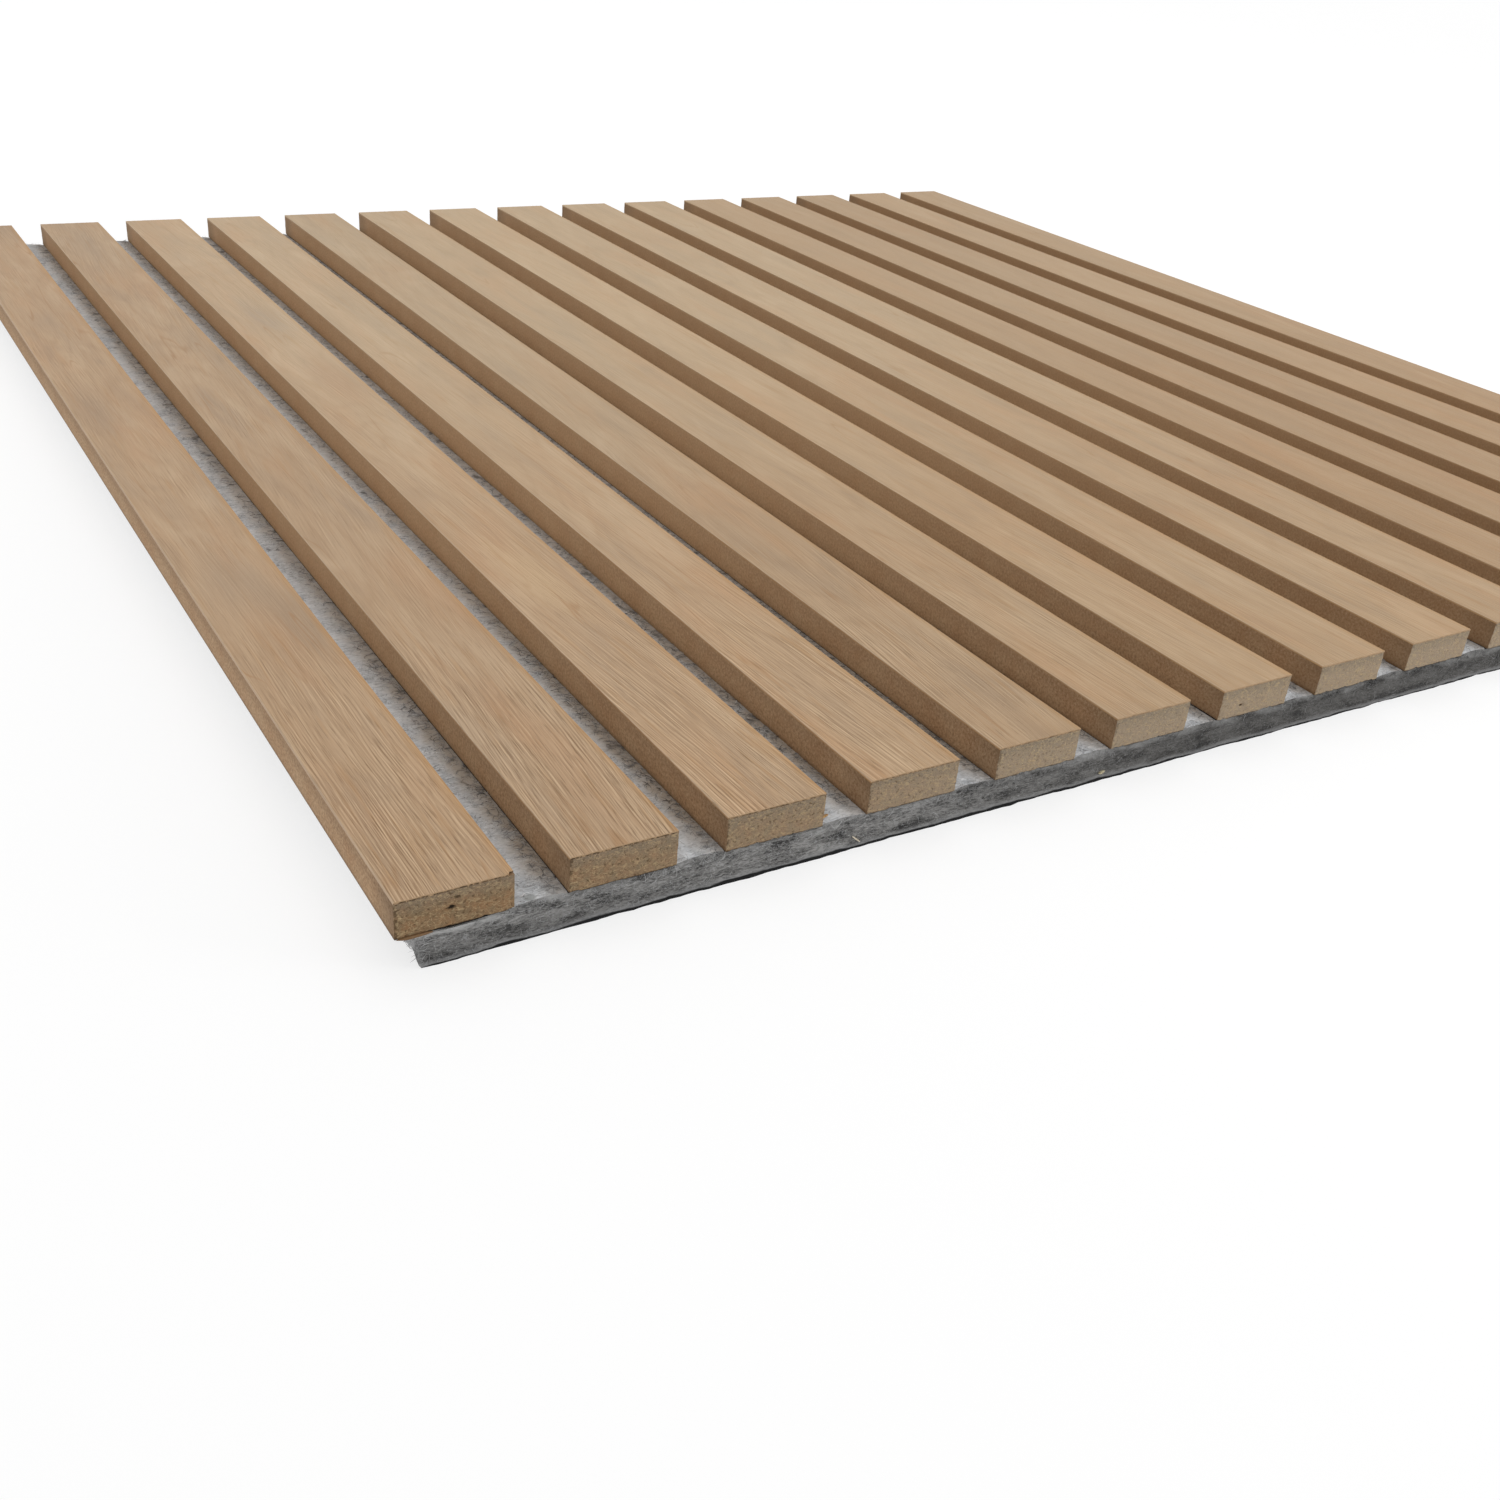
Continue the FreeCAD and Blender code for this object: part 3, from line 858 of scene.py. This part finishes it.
short = add_node(tree, "Mapping", {"Vector": grain, "Scale": (3.2, 0.09, 1)})
pore = add_node(tree, "TexNoise", {"Vector": short, "Scale": 1.0, "Detail": 2.0})
depth = add_node(tree, "Math", {0: fading, 1: 0.5}, operation="MULTIPLY")
opened = add_node(tree, "MapRange", {"Value": pore, **share_of(0.57, 0.67, depth)})
wood = add_node(tree, "Mix", {"Factor": opened, "A": wood, "B": "#785a38"})

# A painted highlight leaves the left arris pale, and finish gathers orange along the right one.
wood = tinted(tree, wood, across, (0.45, 0.1, 0.45), "#d2bba0")
near_right = add_node(tree, "MapRange", {"Value": across, **share_of(24.6, 26.8, 1.3)})
stained = add_node(tree, "Math", {0: near_right, 1: pore}, operation="MULTIPLY")
wood = add_node(tree, "Mix", {"Factor": stained, "A": wood, "B": "#b08552"})

# Paler towards the back by painted light, yellower towards the right, the darker leaf, and each slat's own
# lightness.
behind = add_node(tree, "MapRange", {"Value": y, **share_of(-150, 60)})
inner = add_node(tree, "MapRange", {"Value": x, **share_of(-260, -190, 0.2)})
paler = add_node(tree, "Math", {0: behind, 1: inner}, operation="MULTIPLY")
wood = add_node(tree, "Mix", {"Factor": paler, "A": wood, "B": "#d8c9aa"})
yellow = add_node(tree, "Math", {0: rightward, 1: 0.18}, operation="MULTIPLY")
wood = add_node(tree, "Mix", {"Factor": yellow, "A": wood, "B": "#b39b71"})
wood = tinted(tree, wood, leaf, (9, 10, 0.35), "#a07d58")
lightness = add_node(tree, "MapRange", {"Value": chance.outputs["Value"], **share_of(0, 1, 1.04, 0.95)})
wood = add_node(tree, "HueSaturation", {"Color": wood, "Value": lightness})
relief = add_node(tree, "Math", {0: opened, 1: -1.0, 2: line}, operation="MULTIPLY_ADD")
bump = add_node(tree, "Bump", {"Strength": 0.4, "Distance": 0.3 * MM, "Height": relief})
shader = add_node(tree, "BsdfPrincipled", {
    "Base Color": wood, "Roughness": 0.6, "Specular IOR Level": 0.35, "Normal": bump,
})
add_node(tree, "OutputMaterial", {"Surface": shader})

# The veneer's sawn end: the same oak cut across, where open pores and torn glue show as a row of dark
# dashes along the joint, fewer towards the right.
oak_end, tree, place = begin_material("oak_veneer_end")
x, y, z = add_node(tree, "SeparateXYZ", {"Vector": place}).outputs
stretched = add_node(tree, "Mapping", {"Vector": place, "Scale": (0.8, 1, 0.5)})
dash = add_node(tree, "TexNoise", {"Vector": stretched, "Scale": 1.0, "Detail": 4.0, "Roughness": 0.7})
torn = add_node(tree, "MapRange", {"Value": dash, **share_of(0.38, 0.54)})
low = add_node(tree, "MapRange", {"Value": z, **share_of(18.42, 18.28)})
tapering = add_node(tree, "MapRange", {"Value": x, **share_of(-240, -60, 0.35, 1.0)})
dashes = add_node(tree, "Math", {0: torn, 1: low}, operation="MULTIPLY")
dark = add_node(tree, "Math", {0: dashes, 1: tapering}, operation="MULTIPLY")
wood = add_node(tree, "Mix", {"Factor": dark, "A": "#a98c6b", "B": "#46341f"})
shader = add_node(tree, "BsdfPrincipled", {"Base Color": wood, "Roughness": 0.85})
add_node(tree, "OutputMaterial", {"Surface": shader})

for number in range(1, slat_count + 1):
    veneer = copy_to_slat(veneer_pattern, "oak_face", number)
    for vertex in veneer.data.vertices:
        inward = 1 if near(vertex.co.y, veneer_low.y) else -1 if near(vertex.co.y, veneer_high.y) else 0
        torn = tear_mean + lumps(vertex.co, *tear_lumps)
        vertex.co.y += inward * veneer_tear * max(0, torn)
        if number == 1 and inward == 1 and vertex.co.x > veneer_high.x - chip_width:
            vertex.co.y += chip_depth
    dress_slat_part(veneer, oak, oak_end)
    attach(veneer, "root")
    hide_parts(f"slat_veneer_{number:02d}")
bpy.data.objects.remove(veneer_pattern)

# Slivers: torn strips of wood that the saw left behind, one under the first slat's end, a chip at the
# third slat's corner and two straws in the felt's cut edge. One strip with drawn-out ends is copied.
slivers = {
    "splinter": ((-295.7, -300.1, 8.95), (8.2, 0.6, 0.7), 1, "#775a3b"),
    "corner_chip": ((-192.6, -299.8, 11.9), (1.8, 0.6, 0.5), -12, "#b98f57"),
    "straw": ((-182.7, -300.3, 2.9), (3.6, 0.35, 0.4), 42, "#e2d9c4"),
    "crumb": ((-102.0, -300.2, 2.6), (2.2, 0.6, 0.7), -12, "#cfc7a6"),
}
sliver_cuts = 5
sliver_taper = 0.85
sliver_lumps = (0.3, 0.4)
bpy.ops.object.select_all(action="DESELECT")
bpy.ops.mesh.primitive_cube_add(size=1)
sliver_pattern = bpy.context.object
bpy.ops.object.mode_set(mode="EDIT")
bpy.ops.mesh.select_mode(type="EDGE")
divide_edges(sliver_pattern, sliver_cuts, lambda a, b: along(a, b, 0))
bpy.ops.object.mode_set(mode="OBJECT")
for vertex in sliver_pattern.data.vertices:
    drawn_out = 1 - (2 * abs(vertex.co.x)) ** 3 * sliver_taper
    vertex.co.y *= drawn_out
    vertex.co.z = vertex.co.z * drawn_out + lumps(vertex.co, sliver_lumps)
for name, (middle, size, turn, colour) in slivers.items():
    sliver = copy_of(sliver_pattern, name)
    sliver.location = Vector(middle) * MM
    sliver.scale = Vector(size) * MM
    sliver.rotation_euler = (0, math.radians(turn), 0)
    bpy.ops.object.transform_apply(location=True, rotation=True, scale=True)
    bpy.ops.object.shade_smooth_by_angle(angle=soft_crease)

    # Torn wood: pale to brown, streaked along its fibres.
    torn_wood, tree, place = begin_material(f"torn_wood_{name}")
    streaks = add_node(tree, "TexNoise", {"Vector": place, "Scale": 2.5, "Detail": 3.0})
    wood = tinted(tree, colour, streaks, (0.4, 0.65, 0.7), "#6b4f30")
    shader = add_node(tree, "BsdfPrincipled", {"Base Color": wood, "Roughness": 0.8})
    add_node(tree, "OutputMaterial", {"Surface": shader})
    sliver.data.materials.append(torn_wood)
    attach(sliver, "root")
bpy.data.objects.remove(sliver_pattern)

# Floor: a wide sheet of white paper that the panel lies on. It looks nearly white to the camera and keeps
# the panel's shadow.
floor_size = 20


def seen_directly(tree):
    """1 for what the camera sees, straight or by way of gloss or glass, and 0 for light on the panel."""
    rays = add_node(tree, "LightPath", {})
    gloss, glass = rays.outputs["Is Glossy Ray"], rays.outputs["Is Transmission Ray"]
    mirrored = add_node(tree, "Math", {0: gloss, 1: glass}, operation="MAXIMUM")
    return add_node(tree, "Math", {0: rays.outputs["Is Camera Ray"], 1: mirrored}, operation="MAXIMUM")


bpy.ops.object.select_all(action="DESELECT")
bpy.ops.mesh.primitive_plane_add(size=floor_size, location=(0, 0, 0))
floor = bpy.context.object
floor.name = "floor"
paper, tree, _ = begin_material("white_paper")
direct = seen_directly(tree)
glow = add_node(tree, "MapRange", {"Value": direct, **share_of(0, 1, 0.72)})
body = add_node(tree, "Mix", {"Factor": direct, "A": "#f4f4f4", "B": "#909090"})
shader = add_node(tree, "BsdfPrincipled", {
    "Base Color": body, "Roughness": 0.9, "Emission Color": "#ffffff", "Emission Strength": glow,
})
add_node(tree, "OutputMaterial", {"Surface": shader})
floor.data.materials.append(paper)

# Light: an even white room, one large soft lamp overhead, and a low one at the front right that gives
# the sawn ends on that side a little more.
lamps = {
    "top_lamp": ((0.3, 0.5, 1.8), 1.4, 6),
    "front_lamp": ((0.75, -0.95, 0.28), 0.5, 4),
}
for name, (position, size, power) in lamps.items():
    bpy.ops.object.light_add(type="AREA", location=position)
    lamp = bpy.context.object
    lamp.name = name
    lamp.data.energy = power
    lamp.data.size = size
    lamp.rotation_euler = (-lamp.location).to_track_quat("-Z", "Y").to_euler()

world = bpy.data.worlds.new("white_room")
bpy.context.scene.world = world
world.use_nodes = True
tree = world.node_tree
tree.nodes.clear()
direct = seen_directly(tree)
strength = add_node(tree, "MapRange", {"Value": direct, **share_of(0, 1, 1.0, 0.75)})
background = add_node(tree, "Background", {"Color": "#ffffff", "Strength": strength})
add_node(tree, "OutputWorld", {"Surface": background})

# Camera: low over the near left corner, looking along the slats. Its place, turns and focal length were
# fitted to the slats' edges.
camera_data = bpy.data.cameras.new("camera")
camera = bpy.data.objects.new("camera", camera_data)
bpy.context.scene.collection.objects.link(camera)
camera.location = (-0.38759, -0.55711, 0.21481)
camera.rotation_euler = [math.radians(turn) for turn in (59.799, -4.677, -30.997)]
camera_data.sensor_width = 36
camera_data.lens = 38.125
camera_data.clip_start = 0.01
bpy.context.scene.camera = camera
bpy.context.scene.view_settings.view_transform = "Standard"
